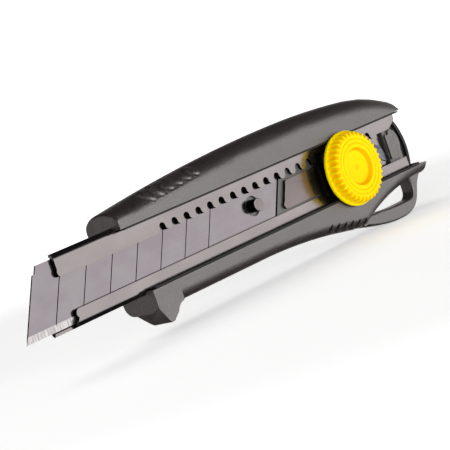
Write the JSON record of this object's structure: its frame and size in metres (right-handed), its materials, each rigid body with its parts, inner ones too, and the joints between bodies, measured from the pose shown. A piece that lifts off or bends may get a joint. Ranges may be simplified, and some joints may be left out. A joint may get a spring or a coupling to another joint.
{
  "type": "utility knife",
  "caption": "Snap-off utility knife: scored blade in a toothed sheet-metal rail, dial lock on the slider, two-part handle with finger guard and lanyard loop.",
  "frame": {"origin": "on the flat far face of the handle, on the centre line of the blade rail", "axes": "+X along the blade from its tip to the rear, +Y away from the dial, +Z from the cutting edge to the spine"},
  "size_m": [0.1728, 0.0183, 0.0422],
  "materials": {
    "core_plastic": "fine moulded grain",
    "shell_plastic": "fine moulded grain",
    "grip_rubber": "soft-touch elastomer, semi-matte",
    "rail_steel": "dark nickel plated sheet, satin gloss",
    "blade_steel": "polished blade steel with bright ground edge",
    "slider_plastic": "black moulded plastic",
    "plate_steel": "polished dark plate",
    "pin_steel": "blackened steel",
    "screw_steel": "zinc plated",
    "brass": "turned",
    "dial_plastic": "soft gloss yellow",
    "stopper_plastic": "moulded, smooth",
    "spring_steel": "blued spring steel"
  },
  "bodies": {
    "handle": {"handle_body": "core_plastic", "back_shell": "shell_plastic", "top_grip": "grip_rubber", "lower_grip": "grip_rubber", "blade_rail": "rail_steel", "rail_screws": "screw_steel", "shell_screws": "screw_steel", "stopper_leaf": "spring_steel"},
    "slider": {"snap_off_blade": "blade_steel", "blade_slider": "slider_plastic", "slider_plate": "plate_steel", "plate_rivets": "screw_steel", "blade_pin": "pin_steel", "clamp_screw": "screw_steel", "lift_spring": "spring_steel"},
    "clamp": {"lock_shoe": "slider_plastic", "thrust_washer": "screw_steel"},
    "dial": {"lock_dial": "dial_plastic", "dial_nut": "brass"},
    "stopper": {"end_stopper": "stopper_plastic"}
  },
  "joints": [
    {"name": "blade_slide", "type": "slide", "parent": "handle", "child": "slider", "axis": [1, 0, 0], "range_m": [-0.06, 0.015]},
    {"name": "clamp_lift", "type": "slide", "parent": "slider", "child": "clamp", "axis": [0, -1, 0], "range_m": [-0.0008, 0], "deforming": ["lift_spring"]},
    {"name": "dial_turn", "type": "hinge", "parent": "clamp", "child": "dial", "pos_m": [0.0301, -0.014, -0.0012], "axis": [0, -1, 0], "range_deg": [-360, 0]},
    {"name": "stopper_pull", "type": "slide", "parent": "handle", "child": "stopper", "axis": [1, 0, 0], "range_m": [0, 0.012]}
  ],
  "couplings": [
    {"joint": "clamp_lift", "follows": "dial_turn", "m_per_rad": 0.00012732}
  ]
}
